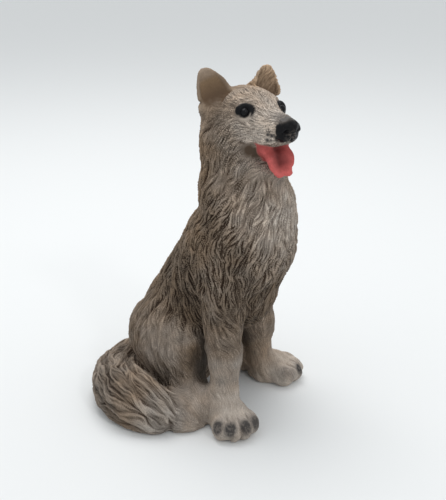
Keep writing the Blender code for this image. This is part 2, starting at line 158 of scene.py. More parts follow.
def from_head(place):
    return np.array(head_matrix() @ Vector(place))


class Surface:
    """The fine casting as arrays: places, normals, neighbours, and the lie of its hair."""

    def __init__(self, mesh):
        self.places = places_of(mesh)
        self.normals = normals_of(mesh)
        self.body = self.places - GUIDE_SHIFT
        self.local = in_head(self.places)
        ends = np.empty(len(mesh.edges) * 2, np.int64)
        mesh.edges.foreach_get("vertices", ends)
        ends = ends.reshape(-1, 2)
        self.near = np.concatenate([ends[:, 0], ends[:, 1]])
        self.far = np.concatenate([ends[:, 1], ends[:, 0]])
        self.count = len(self.places)
        self.links = np.maximum(np.bincount(self.near, minlength=self.count), 1)
        self.tree = kdtree.KDTree(self.count)
        for index, place in enumerate(self.places):
            self.tree.insert(place, index)
        self.tree.balance()

    def softened(self, values, rounds):
        """Values averaged with their neighbours."""
        values = np.array(values, float)
        columns = values.reshape(self.count, -1)
        for _ in range(rounds):
            for column in range(columns.shape[1]):
                total = np.bincount(self.near, columns[self.far, column], self.count)
                columns[:, column] = 0.5 * columns[:, column] + 0.5 * total / self.links
        return columns.reshape(values.shape)

    def noise_at(self, cell, seed):
        """A smooth random field with features of about the cell's size."""
        offset = Vector((seed * 7.3, seed * 3.1, seed * 5.7))
        return np.array([noise.noise(Vector(place) / cell + offset) for place in self.places])

    def stepped(self, way, step):
        """For each point, the three nearest to the place one step along, and their shares."""
        index = np.empty((self.count, 3), np.int64)
        apart = np.empty((self.count, 3))
        targets = self.places + way * step
        for row, target in enumerate(targets):
            found = self.tree.find_n(target, 3)
            index[row] = [item[1] for item in found]
            apart[row] = [item[2] for item in found]
        share = 1 / (apart + 0.02)
        return index, share / share.sum(axis=1)[:, None]


def brushed(values, ahead, behind, steps):
    """Values drawn out along the hair, evened to a spread of one."""
    total = values.copy()
    front = back = values
    for step in range(steps):
        weight = 1 - (step / steps) ** 2
        front = (front[ahead[0]] * ahead[1]).sum(axis=1)
        back = (back[behind[0]] * behind[1]).sum(axis=1)
        total += weight * (front + back)
    total -= total.mean()
    return total / total.std()


# The lie of the coat

# Places on the right half and the way that the hair runs there
COAT = (
    ((0, 7, 66), (0, 0.3, -1)),
    ((0, 9, 56), (0, 0.35, -1)),
    ((0, 14, 48), (0, 0.5, -1)),
    ((0, 20, 36), (0, 0.5, -1)),
    ((0, 26, 24), (0, 0.4, -1)),
    ((0, 29, 12), (0, 0.1, -1)),
    ((-10, -4, 64), (-0.2, 0.1, -1)),
    ((-9, -7, 56), (-0.2, 0.6, -0.8)),
    ((-12, -1, 49), (-0.1, 0.45, -0.9)),
    ((-13, 3, 42), (0, 0, -1)),
    ((-13, 0, 35), (0, -0.45, -0.9)),
    ((-12, -4, 29), (0, -0.5, -0.85)),
    ((-12, 9, 31), (0, -0.15, -1)),
    ((-12, 6, 22), (0, -0.1, -1)),
    ((-9, 15, 37), (-0.2, 0.45, -0.9)),
    ((-10, 20, 27), (-0.3, 0.3, -0.9)),
    ((0, -16, 57), (0, -0.3, -1)),
    ((0, -20, 46), (0, 0.1, -1)),
    ((0, -16, 34), (0, 0.4, -1)),
    ((-8, -15, 49), (-0.5, 0.25, -0.85)),
    ((-9, -13, 40), (-0.15, 0.1, -1)),
    ((-11, 20, 24), (-0.3, 0.4, -0.8)),
    ((-17, 14, 17), (0, 0.3, -1)),
    ((-17, 4, 16), (0, -0.2, -1)),
    ((-16, 10, 8), (0, 0, -1)),
    ((-12, -8, 24), (0.5, -0.5, -0.8)),
    ((-12, -9, 16), (0.4, -0.3, -1)),
    ((-12, -9, 9), (0, -0.2, -1)),
    ((-15, -13, 5), (-0.45, -0.85, -0.2)),
)

# The same on the head, in its own frame
FACE = (
    ((0, -11, 3.5), (0, 1, 0.4)),
    ((0, -5, 8), (0, 1, 0.4)),
    ((0, 1, 9), (0, 1, -0.1)),
    ((0, 8, 3), (0, 0.3, -1)),
    ((-2.6, -12.5, 0.5), (-0.5, 1, 0.3)),
    ((-4, -11, -2), (-0.5, 1, -0.25)),
    ((-6.2, -6.5, -0.5), (-0.3, 0.9, -0.35)),
    ((-8.3, -1, -1), (0, 0.7, -0.7)),
    ((-7, -1, -6), (0, 0.3, -1)),
    ((-7.5, -2, 5), (-0.2, 1, 0.1)),
    ((-8.5, 5, 0), (0, 0.4, -1)),
    ((0, -8, -10), (0, 0.8, -0.6)),
    ((-7.5, 4.0, 9), (-0.3, 0.1, 1)),
)

# Where the tail runs, from the rump round to its tip
TAIL = (
    (3.0, 23.0, 4.6),
    (-7.5, 25.8, 4.8),
    (-15.5, 23.6, 5.0),
    (-21.6, 17.0, 5.0),
    (-24.6, 8.6, 4.8),
    (-24.6, 2.6, 3.8),
    (-23.4, -0.9, 2.6),
)
GUIDE_SHIFT = (5.018, -4.869, 0.0)  # from the guides' places to the casting's middle
FLOW_REACH = 5.0
HAIR_STEP = 0.5  # length of one step along the hair


def coat_guides():
    places, ways = [], []
    head = np.array(head_matrix())
    body = np.eye(4)
    body[:3, 3] = GUIDE_SHIFT
    for guides, where in ((COAT, body), (FACE, head)):
        for place, way in guides:
            for side in (1, -1):
                places.append(where[:3, :3] @ (np.array(place) * (side, 1, 1)) + where[:3, 3])
                ways.append(where[:3, :3] @ (np.array(way) * (side, 1, 1)))
    run = np.array(TAIL)
    run = np.concatenate([run[:-1] + (run[1:] - run[:-1]) * share for share in (0, 1 / 3, 2 / 3)])
    run = run[np.argsort(-run[:, 1] - 30 * (run[:, 0] > -8), kind="stable")]
    places.extend(run + GUIDE_SHIFT)
    tail_ways = np.gradient(np.array(TAIL), axis=0)
    spans = np.linalg.norm(run[:, None] - np.array(TAIL)[None], axis=2).argmin(axis=1)
    ways.extend(tail_ways[spans])
    ways = np.array(ways, float)
    return np.array(places), ways / np.linalg.norm(ways, axis=1)[:, None]


def lie_of_coat(surface):
    """The unit way of the hair at each point, along the surface and gently waved."""
    places, ways = coat_guides()
    way = np.empty_like(surface.places)
    for start in range(0, surface.count, 20000):
        part = slice(start, start + 20000)
        apart = ((surface.places[part, None, :] - places[None]) ** 2).sum(axis=2)
        way[part] = (np.exp(-apart / (2 * FLOW_REACH**2)) + 1e-4 / (1 + apart)) @ ways
    normals = surface.normals
    way -= normals * (way * normals).sum(axis=1)[:, None]
    way /= np.maximum(np.linalg.norm(way, axis=1), 1e-9)[:, None]
    side = np.cross(normals, way)
    bend = 0.85 * surface.noise_at(3.2, 3) + 0.55 * surface.noise_at(1.4, 4)
    way = way * np.cos(bend)[:, None] + side * np.sin(bend)[:, None]
    return way


# The paint's and the face's landmarks

# How bright a coat of paint is over the taupe ground, from the darkest wash to the palest brushing
SOOT, UMBER, DARK, BROWN, TAUPE, HAZEL = 0.29, 0.37, 0.44, 0.52, 0.60, 0.67
STONE, SAND, PALE, LIGHT, CREAM, BONE, WHITE = 0.77, 0.88, 1.05, 1.20, 1.38, 1.62, 1.87
# How warm it is, from grey to rusty brown
COLD, COOL, FRESH, EVEN, MILD, WARM, RICH, RUST = 0.03, 0.14, 0.28, 0.40, 0.55, 0.67, 0.79, 0.97

# Patches on the right half: place, reach, brightness, warmth, and height of the strands
BODY_PATCHES = (
    ((-9.5, -3, 64), 4.0, TAUPE, RUST, 0.75),
    ((-7, 4, 66), 5.0, HAZEL, RUST, 0.8),
    ((0, 7, 60), 6.0, HAZEL, RUST, 0.9),
    ((-9.5, -5, 60.9), 2.0, SAND, FRESH, 0.05),
    ((-4, -12, 60), 4.0, HAZEL, MILD, 0.8),
    ((-7, -13, 51), 5.0, LIGHT, FRESH, 1.0),
    ((-1, -17, 50), 5.0, CREAM, COLD, 1.0),
    ((-5.1, -16.7, 47.6), 1.8, LIGHT, COLD, 0.1),
    ((-4, -16, 41), 5.0, STONE, EVEN, 0.9),
    ((-10, -11, 44), 4.0, DARK, WARM, 1.0),
    ((-11, -5, 51), 4.0, BROWN, WARM, 1.1),
    ((-12, -1, 45), 4.0, BROWN, RUST, 1.1),
    ((-12, 4, 49), 5.0, TAUPE, RICH, 1.1),
    ((0, 12, 47), 6.0, HAZEL, RUST, 1.0),
    ((-11, 8, 38), 5.0, DARK, WARM, 1.15),
    ((-12.5, 3, 37), 4.0, UMBER, RICH, 1.2),
    ((-13, -4, 36), 4.0, TAUPE, MILD, 1.0),
    ((-6, -12, 35), 4.0, DARK, WARM, 0.8),
    ((-1, -12, 30), 4.0, DARK, RICH, 0.6),
    ((-12, 3, 28), 4.0, SOOT, RUST, 0.9),
    ((-12.3, -7, 28), 3.5, DARK, WARM, 0.5),
    ((0, 22, 32), 6.0, TAUPE, RICH, 0.9),
    ((-14, 12, 26), 4.0, BROWN, RICH, 0.5),
    ((-16.5, 9, 18), 6.0, SAND, FRESH, 0.25),
    ((-14, 21, 16), 6.0, TAUPE, WARM, 0.4),
    ((0, 29, 14), 7.0, HAZEL, WARM, 0.8),
    ((-16, 6, 10), 3.5, TAUPE, EVEN, 0.4),
    ((-14.7, -0.8, 15.9), 2.2, UMBER, RUST, 0.2),
    ((-9, -1, 12), 4.0, SOOT, EVEN, 0.2),
    ((-13, -8, 21), 3.0, TAUPE, MILD, 0.3),
    ((-13.5, -9, 15), 3.0, PALE, COOL, 0.15),
    ((-13.8, -9, 10), 3.0, LIGHT, COOL, 0.1),
    ((-15.8, -13.5, 5), 4.5, BONE, COLD, 0.05),
    ((-20.9, 21.8, 9), 5.0, TAUPE, EVEN, 0.6),
    ((-28, 15, 7), 5.0, DARK, EVEN, 0.6),
    ((-26, 8, 9), 5.0, TAUPE, RICH, 0.6),
    ((-25, 1, 7), 4.0, STONE, COLD, 0.7),
    ((-17, -3.5, 6), 4.0, LIGHT, FRESH, 0.12),
)
# The left foreleg's own, where it is painted otherwise
LEFT_PATCHES = (
    ((8.5, -5, 18), 4.0, STONE, MILD, 0.3),
    ((8.5, -4.5, 9), 4.0, PALE, RICH, 0.1),
    ((12.5, -9, 5), 4.5, WHITE, COLD, 0.05),
)
# The same on the head, in its own frame
HEAD_PATCHES = (
    ((-3, -5, 7.5), 4.0, BONE, FRESH, 0.0),
    ((0, 1, 9), 4.0, PALE, WARM, 0.1),
    ((-4, -11.5, -0.5), 3.0, WHITE, COOL, 0.0),
    ((0, -10.5, 3.5), 3.0, WHITE, COLD, 0.0),
    ((-6.5, -6.5, -0.5), 3.0, BONE, COLD, 0.0),
    ((-7.5, -2.5, -1), 3.5, BROWN, EVEN, 0.1),
    ((-7.5, -2, 4.5), 3.0, PALE, MILD, 0.0),
    ((-6.5, -2, -7), 3.5, STONE, FRESH, 0.35),
    ((-3, -9, -10), 4.0, LIGHT, COOL, 0.2),
    ((-8.5, 4.5, 0), 4.0, STONE, WARM, 0.4),
    ((0, 8, 3), 4.0, STONE, RUST, 0.6),
)

# The face in the head's frame, on its right half: folded over the middle, they serve both sides
EYE = (-5.2, -6.6, 3.6)
EYE_ALONG = (0.834, -0.515, 0.196)
EYE_PATCH = (2.2, 1.5)
EYEBALL = (-5.22, -6.2, 3.15)
EYEBALL_RADIUS = 1.08
NOSTRIL = (-1.55, -16.6, -0.75)
NOSTRIL_SLIT = (-2.5, -16.0, -1.35)
BRIDGE = (-0.8, -13.9, 1.9)
STIPPLE = (-0.2, -16.3, -3.0)
WORN_NOSE = (0.0, -16.9, -2.2)
SMUDGE = (-3.6, -12.4, -0.9)
MOUTH_CORNER = (-4.9, -7.4, -5.2)
WHISKERS = (
    (-3.75, -12.6, -1.3),
    (-3.5, -13.5, -1.5),
    (-3.2, -14.2, -1.7),
    (-3.75, -12.4, -2.5),
    (-3.6, -13.3, -2.6),
)
LIP = (
    (-6.2, -6.2, -3.5),
    (-4.9, -7.7, -3.9),
    (-3.9, -9.4, -4.0),
    (-3.2, -11.6, -3.9),
    (-2.4, -13.8, -3.9),
)

# The tongue's middle line: y, z, half width and half thickness
TONGUE = (
    (-3.6, -5.0, 3.2, 1.5),
    (-8.0, -5.6, 3.7, 1.5),
    (-11.0, -6.1, 4.0, 1.3),
    (-12.5, -7.8, 3.9, 0.9),
    (-12.9, -9.5, 3.2, 0.7),
    (-12.9, -10.5, 2.1, 0.6),
    (-12.9, -11.0, 1.0, 0.5),
)
TONGUE_ASIDE = -0.4
TONGUE_CUP = 0.07

# The ears' own frame: root, lean in degrees, height, half width and its share from root to tip
EAR_ROOT = (6.8, 3.4, 4.8)
EAR_LEAN = (4.0, 17.0, 1.0)
EAR_HEIGHT = 8.4
EAR_HALF_WIDTH = 4.4
EAR_OUTLINE = (
    (-0.2, 0.62),
    (0.1, 0.92),
    (0.35, 1.04),
    (0.6, 0.86),
    (0.84, 0.54),
    (0.96, 0.30),
    (1.0, 0.12),
)

# Dark claw smudges: place on the casting's own side, and strength
CLAWS = (
    ((-20.5, -13.3, 4.2), 0.85),
    ((-19.0, -16.2, 4.0), 0.9),
    ((-15.9, -18.6, 4.2), 0.85),
    ((-12.5, -18.9, 3.9), 0.8),
    ((15.9, -12.4, 4.0), 0.9),
    ((10.9, -11.2, 4.4), 0.35),
    ((12.4, -12.4, 3.6), 0.35),
)
FRONT_PAWS = ((-12.0, -8.7, -28.0), (11.9, -2.0, 28.0))  # each ankle, and its turn in degrees
PAW_MIDDLES = ((-15.8, -13.5), (12.6, -8.2))
PAW_REACH = 6.5


def near(places, middle, reach):
    """A soft round share about a place."""
    return np.exp(-((places - middle) ** 2).sum(axis=1) / reach**2)


def patch_fields(surface):
    """Brightness, warmth and strand height over the casting, blended between the patches."""
    total = np.full(surface.count, 1e-6)
    fields = np.zeros((surface.count, 3))
    fold = np.array((-1.0, 1.0, 1.0))
    tables = (
        (BODY_PATCHES, surface.body, (1, -1)),
        (LEFT_PATCHES, surface.body, (1,)),
        (HEAD_PATCHES, surface.local, (1, -1)),
    )
    for table, places, sides in tables:
        for place, reach, *values in table:
            for side in sides:
                middle = np.array(place) if side > 0 else np.array(place) * fold
                weight = near(places, middle, reach) + 1e-5 * near(places, middle, 6 * reach)
                if table is LEFT_PATCHES:
                    weight *= 3
                total += weight
                fields += weight[:, None] * np.array(values)
    fields[:, 0] += 1e-6
    tone, warm, strand = (fields / total[:, None]).T
    return tone, warm, strand


def tongue_fields(local):
    """The tongue's share, the place across it from -1 to 1, and the way along it from 0 to 1."""
    x = local[:, 0] - TONGUE_ASIDE
    place = local[:, 1:]
    best = np.full(len(local), 1e9)
    height, half, thick, along = (np.zeros(len(local)) for _ in range(4))
    spans = list(zip(TONGUE, TONGUE[1:]))
    for number, (start, end) in enumerate(spans):
        start, end = np.array(start), np.array(end)
        run = end[:2] - start[:2]
        share = np.clip(((place - start[:2]) @ run) / (run @ run), 0, 1)
        off = place - (start[:2] + share[:, None] * run)
        gap = (off**2).sum(axis=1)
        # The dish opens upwards along the tongue and forwards where it hangs
        outward = np.array((run[1], -run[0])) / np.linalg.norm(run)
        closer = gap < best
        best[closer] = gap[closer]
        height[closer] = (off @ outward)[closer]
        half[closer] = (start[2] + share * (end[2] - start[2]))[closer]
        thick[closer] = (start[3] + share * (end[3] - start[3]))[closer]
        along[closer] = ((number + share) / len(spans))[closer]
    lift = height - TONGUE_CUP * x * x
    inside = smooth(0.75, 0.4, np.abs(lift) - thick) * smooth(0.7, 0.35, np.abs(x) - half)
    inside *= smooth(-8.4, -9.4, local[:, 1]) * smooth(1.2, 0.8, np.sqrt(best) - thick)
    return inside, x / np.maximum(half, 0.5), along


def ear_fields(surface):
    """The ears' share, hollow, rim and back, and the height from 0 at the root to 1 at the tip."""
    local = surface.local
    facing = surface.normals @ np.array(head_matrix())[:3, :3]
    share, hollow, rim, back, height = (np.zeros(len(local)) for _ in range(5))
    for side in (-1, 1):
        lean = [math.radians(angle * (1 if axis == 0 else side)) for axis, angle in enumerate(EAR_LEAN)]
        root = Matrix.Translation((side * EAR_ROOT[0], EAR_ROOT[1], EAR_ROOT[2]))
        inverse = np.array((root @ Euler(lean).to_matrix().to_4x4()).inverted())
        x, y, z = (local @ inverse[:3, :3].T + inverse[:3, 3]).T
        t = z / EAR_HEIGHT
        half = EAR_HALF_WIDTH * np.interp(t, *zip(*EAR_OUTLINE))
        across = np.abs(x) / np.maximum(half, 0.3)
        rough = surface.noise_at(0.8, 13)
        here = smooth(-0.08, 0.24, t + 0.07 * rough) * smooth(1.6, 1.3, across)
        here = here * smooth(4.0, 3.0, np.abs(y)) * (side * local[:, 0] > 1.5)
        front = smooth(0.3, -0.2, y + 0.06 * x * x)
        back = np.maximum(back, here * smooth(0.1, 0.6, facing @ inverse[1, :3]))
        share = np.maximum(share, here)
        inner = smooth(0.92, 0.62, np.maximum(across, 1.1 * t - 0.05))
        hollow = np.maximum(hollow, here * front * inner)
        rim = np.maximum(rim, here * bell(across - 0.98, 0.14) * (t > 0.1))
        height = np.where(here > 0, t, height)
    return share, hollow, rim, back, height


def line_gap(places, points):
    """The distance from each place to a line through the points."""
    best = np.full(len(places), 1e9)
    for start, end in zip(points, points[1:]):
        start, end = np.array(start), np.array(end)
        run = end - start
        share = np.clip(((places - start) @ run) / (run @ run), 0, 1)
        best = np.minimum(best, ((places - start - share[:, None] * run) ** 2).sum(axis=1))
    return np.sqrt(best)


def toe_grooves(body):
    """Soft lines between the toes of the front paws."""
    lines = np.zeros(len(body))
    for x, y, turn in FRONT_PAWS:
        turn = math.radians(turn)
        right = (body[:, 0] - x) * math.cos(turn) + (body[:, 1] - y) * math.sin(turn)
        back = (body[:, 1] - y) * math.cos(turn) - (body[:, 0] - x) * math.sin(turn)
        line = bell(right, 0.32) + bell(np.abs(right) - 2.5, 0.32)
        line *= smooth(-6.0, -7.6, back) * smooth(6.6, 5.0, body[:, 2]) * (np.abs(right) < 6)
        lines = np.maximum(lines, line)
    return lines


class Zones:
    """Soft shares from 0 to 1 of each carved and painted zone over the casting."""

    def __init__(self, surface):
        local, body = surface.local, surface.body
        x, y, z = local.T
        folded = np.column_stack((-np.abs(x), y, z))
        wander = surface.noise_at(0.9, 11)
        speckle = surface.noise_at(0.45, 12)
        self.folded = folded
        self.head = smooth(-13, -9, z) * smooth(11, 7, y)
        self.face = self.head * smooth(2.5, -3.5, y) * smooth(-11.5, -8.0, z)
        self.ear, self.hollow, self.rim, back, self.ear_height = ear_fields(surface)
        self.tongue, self.tongue_across, self.tongue_along = tongue_fields(local)
        self.tone, self.warm, self.strand = patch_fields(surface)
        self.tail = smooth(-17.5, -19.5, body[:, 0]) * smooth(-4, -2, body[:, 1])
        self.tail = self.tail * smooth(17, 14, body[:, 2])
        self.leg = smooth(24, 16, body[:, 2]) * smooth(1, -3, body[:, 1]) * (1 - self.tail)

        off = folded - EYE
        along = np.array(EYE_ALONG)
        up = np.array((0, 0, 1.0)) - along * along[2]
        up /= np.linalg.norm(up)
        u, self.eye_up = off @ along, off @ up
        gap = np.sqrt((u / EYE_PATCH[0]) ** 2 + (self.eye_up / EYE_PATCH[1]) ** 2)
        near_eye = smooth(3.5, 3.0, np.linalg.norm(off, axis=1))
        self.from_ball = np.linalg.norm(folded - EYEBALL, axis=1)
        lid = bell(self.from_ball - 1.6, 0.16) * smooth(-0.4, -0.9, self.eye_up)
        lid = lid * smooth(1.3, 0.7, u)
        self.eye = smooth(1.22, 0.88, gap + 0.06 * wander + 0.12 * speckle) * near_eye * self.face
        self.lid = lid * self.face
        self.near_eye = near_eye * self.face

        grit = surface.noise_at(0.3, 14)
        edge = -14.3 + 0.45 * wander + 0.4 * speckle + 0.45 * grit + 0.25 * smooth(-1, -3, z)
        self.nose = smooth(edge + 0.25, edge - 0.25, y) * smooth(-3.2, -2.7, z + 0.5 * wander)
        self.nose = self.nose * self.face
        self.bridge = near(folded, BRIDGE, 1.9) * smooth(0.2, 1.2, z) * self.face
        spots = smooth(0.05, 0.3, speckle)
        self.stipple = near(folded, STIPPLE, 2.0) * spots * self.face
        worn_front = near(folded, WORN_NOSE, 1.2) * smooth(0.0, 0.35, grit + 0.4 * speckle) * self.face
        worn_top = 0.7 * smooth(0.9, 1.9, z + 0.3 * grit) * smooth(-16.6, -15.2, y)
        self.worn = np.maximum(worn_front, worn_top) * self.nose
        smudge = near(folded, SMUDGE, 1.25) * smooth(-0.25, 0.2, wander + speckle)
        dots = np.zeros(surface.count)
        for place in WHISKERS:
            dots = np.maximum(dots, np.minimum(1, 1.4 * near(folded, place, 0.44)))
        self.dots = np.maximum(0.8 * smudge, dots) * self.face
        # Painted shade: the open mouth's gap, its corner and, weaker, the lip crease are painted dark
        # brown; the lip also carves the crease
        self.lip = bell(line_gap(folded, LIP), 0.35) * (1 - self.tongue)
        inside = smooth(4.8, 4.0, np.abs(x)) * smooth(-4.0, -4.6, z) * smooth(-7.4, -6.4, z)
        inside *= smooth(-11.8, -10.8, y) * smooth(-4.0, -5.0, y)
        corner = np.minimum(1, 1.5 * near(folded, MOUTH_CORNER, 1.5))
        self.mouth = np.maximum(inside, corner) * (1 - self.tongue)

        self.claw = np.zeros(surface.count)
        for place, strength in CLAWS:
            off = (body - place) * (1, 1, 0.75)
            self.claw = np.maximum(self.claw, strength * np.minimum(1, 1.8 * near(off, (0, 0, 0), 1.35)))
        self.claw *= 0.75 + 0.25 * smooth(-0.35, 0.1, speckle + 0.5 * wander)
        seen_from_above = body * (1, 1, 0)
        paws = [near(seen_from_above, (*middle, 0), PAW_REACH) for middle in PAW_MIDDLES]
        self.paw = smooth(9.5, 7.0, body[:, 2]) * np.maximum(*paws)
        self.toes = toe_grooves(body)
        self.short = np.maximum.reduce([self.face, self.leg, smooth(0.5, 0.25, self.strand)])
        self.fluff = np.maximum(self.ear * smooth(-1, 1, x), back * (1 - self.rim))
        round_eye = self.near_eye * smooth(2.3, 1.9, self.from_ball)
        bare_ear = 0.92 * self.ear * (1 - 0.75 * self.fluff)
        self.bare = np.maximum.reduce([round_eye, self.nose, self.tongue, bare_ear, self.mouth])


class FigurineSettings(bpy.types.PropertyGroup):
    grain: FloatProperty(
        name="Carving Grain", description="Side of the casting's small faces",
        default=0.20 * MM, min=0.1 * MM, unit="LENGTH",
    )
    strand_pitch: FloatProperty(
        name="Strand Pitch", description="Space between raised strands of the coat",
        default=0.62 * MM, min=0.2 * MM, unit="LENGTH",
    )
    strand_height: FloatProperty(
        name="Strand Height", description="How far the strands of the coat stand out",
        default=0.40 * MM, min=0.0, unit="LENGTH",
    )
    hair_height: FloatProperty(
        name="Hair Height", description="Depth of the finest brush-like strokes",
        default=0.11 * MM, min=0.0, unit="LENGTH",
    )
    coat_light: FloatVectorProperty(
        name="Dry Brushing", description="Pale paint on the crests of the coat",
        default=(0.44, 0.392, 0.345), subtype="COLOR", min=0, max=1,
    )
    coat_middle: FloatVectorProperty(
        name="Coat", description="Taupe ground of the coat",
        default=(0.245, 0.213, 0.184), subtype="COLOR", min=0, max=1,
    )
    coat_dark: FloatVectorProperty(
        name="Wash", description="Dark brown wash in the grooves",
        default=(0.060, 0.043, 0.032), subtype="COLOR", min=0, max=1,
    )
    black: FloatVectorProperty(
        name="Black", description="Nose, eye rims and claws",
        default=(0.008, 0.008, 0.009), subtype="COLOR", min=0, max=1,
    )
    red: FloatVectorProperty(
        name="Tongue", description="Tongue and the inside of the mouth",
        default=(0.57, 0.122, 0.113), subtype="COLOR", min=0, max=1,
    )
    tan: FloatVectorProperty(
        name="Ear Hollow", description="Tan brown inside the ears",
        default=(0.212, 0.142, 0.084), subtype="COLOR", min=0, max=1,
    )
    lamp: FloatProperty(
        name="Lamps", description="Strength of the two lamps",
        default=1.0, min=0.0, subtype="FACTOR", soft_max=2.0,
    )
    seed: IntProperty(name="Seed", description="Chance pattern of the strands", default=5, min=0)


# Materials

HAIR_STEPS = (-0.48, -0.24, 0.0, 0.24, 0.48)  # places along the hair, in millimetres
HAIR_SCALE = 4200.0
GRAIN_SCALE = 5200.0
WARM_TINT = (1.0, 0.80, 0.61, 1)
EAR_RIM = (0.235, 0.18, 0.135, 1)
# Painted shade at the root of the ear hollows
EAR_ROOT_SHADE = (0.11, 0.07, 0.045, 1)
# Painted shade in the mouth gap, at its corner and along the lip crease
MOUTH_SHADE_BROWN = (0.075, 0.052, 0.036, 1)
# Painted shade on the tongue: down its middle groove and towards its root under the lip
TONGUE_SHADE_RED = (0.15, 0.028, 0.026, 1)
DUSK = (0.05, 0.048, 0.05, 1)
COAT_SHEEN = 0.09
COAT_ROUGHNESS = 0.62
WET_ROUGHNESS = 0.2
EYE_SHEEN = 0.12
EYE_ROUGHNESS = 0.08


def socket(group, name, kind, out=False, default=None):
    made = group.interface.new_socket(name=name, in_out="OUTPUT" if out else "INPUT", socket_type=kind)
    if default is not None:
        made.default_value = default
    return made


class Nodes:
    """Adds nodes to a tree and links them by name."""

    def __init__(self, tree):
        self.tree = tree

    def add(self, kind, inputs=None, **values):
        node = self.tree.nodes.new(kind)
        for name, value in values.items():
            setattr(node, name, value)
        for name, value in (inputs or {}).items():
            if isinstance(value, bpy.types.NodeSocket):
                self.tree.links.new(value, node.inputs[name])
            else:
                node.inputs[name].default_value = value
        return node

    def mix(self, share, low, high, blend="MIX"):
        node = self.add("ShaderNodeMix", data_type="RGBA", blend_type=blend)
        for index, value in ((0, share), (6, low), (7, high)):
            if isinstance(value, bpy.types.NodeSocket):
                self.tree.links.new(value, node.inputs[index])
            else:
                node.inputs[index].default_value = value
        return node.outputs[2]

    def math(self, operation, first, second=0.0, clamp=False):
        node = self.add("ShaderNodeMath", operation=operation, use_clamp=clamp)
        for index, value in ((0, first), (1, second)):
            if isinstance(value, bpy.types.NodeSocket):
                self.tree.links.new(value, node.inputs[index])
            else:
                node.inputs[index].default_value = value
        return node.outputs[0]

    def spread(self, value, low, high):
        node = self.add(
            "ShaderNodeMapRange", {"Value": value, "From Min": low, "From Max": high}, clamp=True
        )
        return node.outputs[0]

    def attribute(self, name):
        return self.add("ShaderNodeAttribute", attribute_name=name).outputs["Fac"]


def brushed_paint_group():
    """Dark wash in the hollows, a middle coat, and pale dry brushing on the crests."""
    group = bpy.data.node_groups.new("Brushed Paint", "ShaderNodeTree")
    for name, kind in (("Relief", "NodeSocketFloat"), ("Wash", "NodeSocketColor"),
                       ("Coat", "NodeSocketColor"), ("Crest", "NodeSocketColor")):
        socket(group, name, kind)
    socket(group, "Colour", "NodeSocketColor", out=True)
    nodes = Nodes(group)
    given = nodes.add("NodeGroupInput")
    out = nodes.add("NodeGroupOutput")
    hollow = nodes.spread(given.outputs["Relief"], 0.45, 0.16)
    crest = nodes.spread(given.outputs["Relief"], 0.52, 0.78)
    colour = nodes.mix(hollow, given.outputs["Coat"], given.outputs["Wash"])
    colour = nodes.mix(crest, colour, given.outputs["Crest"])
    group.links.new(colour, out.inputs["Colour"])
    return group


def mottle_group():
    """Uneven hand-laid paint: a value near one that wanders over the surface."""
    group = bpy.data.node_groups.new("Paint Mottle", "ShaderNodeTree")
    socket(group, "Size", "NodeSocketFloat", default=600.0)
    socket(group, "Amount", "NodeSocketFloat", default=0.2)
    socket(group, "Value", "NodeSocketFloat", out=True)
    nodes = Nodes(group)
    given = nodes.add("NodeGroupInput")
    out = nodes.add("NodeGroupOutput")
    coordinates = nodes.add("ShaderNodeTexCoord")
    spots = nodes.add(
        "ShaderNodeTexNoise",
        {"Vector": coordinates.outputs["Object"], "Scale": given.outputs["Size"], "Detail": 4.0},
    )
    centred = nodes.math("SUBTRACT", spots.outputs[0], 0.5)
    scaled = nodes.math("MULTIPLY", centred, given.outputs["Amount"])
    group.links.new(nodes.math("ADD", scaled, 1.0), out.inputs["Value"])
    return group


def hair_group():
    """Hair finer than the carving: noise drawn out along the lie of the coat, from 0 to 1."""
    group = bpy.data.node_groups.new("Fine Hair", "ShaderNodeTree")
    socket(group, "Scale", "NodeSocketFloat", default=HAIR_SCALE)
    socket(group, "Value", "NodeSocketFloat", out=True)
    nodes = Nodes(group)
    given = nodes.add("NodeGroupInput")
    out = nodes.add("NodeGroupOutput")
    place = nodes.add("ShaderNodeTexCoord").outputs["Object"]
    way = nodes.add("ShaderNodeAttribute", attribute_name="way").outputs["Vector"]
    total = None
    for step in HAIR_STEPS:
        drawn = nodes.add("ShaderNodeVectorMath", {0: way, "Scale": step * MM}, operation="SCALE")
        moved = nodes.add("ShaderNodeVectorMath", {0: place, 1: drawn.outputs[0]}, operation="ADD")
        spots = nodes.add(
            "ShaderNodeTexNoise",
            {"Vector": moved.outputs[0], "Scale": given.outputs["Scale"], "Detail": 1.0},
        ).outputs[0]
        total = spots if total is None else nodes.math("ADD", total, spots)
    mean = nodes.math("DIVIDE", total, float(len(HAIR_STEPS)))
    group.links.new(nodes.spread(mean, 0.41, 0.59), out.inputs["Value"])
    return group


def grain_bump(nodes, height, distance):
    coordinates = nodes.add("ShaderNodeTexCoord")
    grain = nodes.add(
        "ShaderNodeTexNoise",
        {"Vector": coordinates.outputs["Object"], "Scale": GRAIN_SCALE, "Detail": 3.0},
    )
    return nodes.add(
        "ShaderNodeBump", {"Height": grain.outputs[0], "Strength": height, "Distance": distance}
    ).outputs[0]


def grey(value, nodes):
    """A colour whose three parts are one value."""
    return nodes.add("ShaderNodeCombineColor", {"Red": value, "Green": value, "Blue": value}).outputs[0]


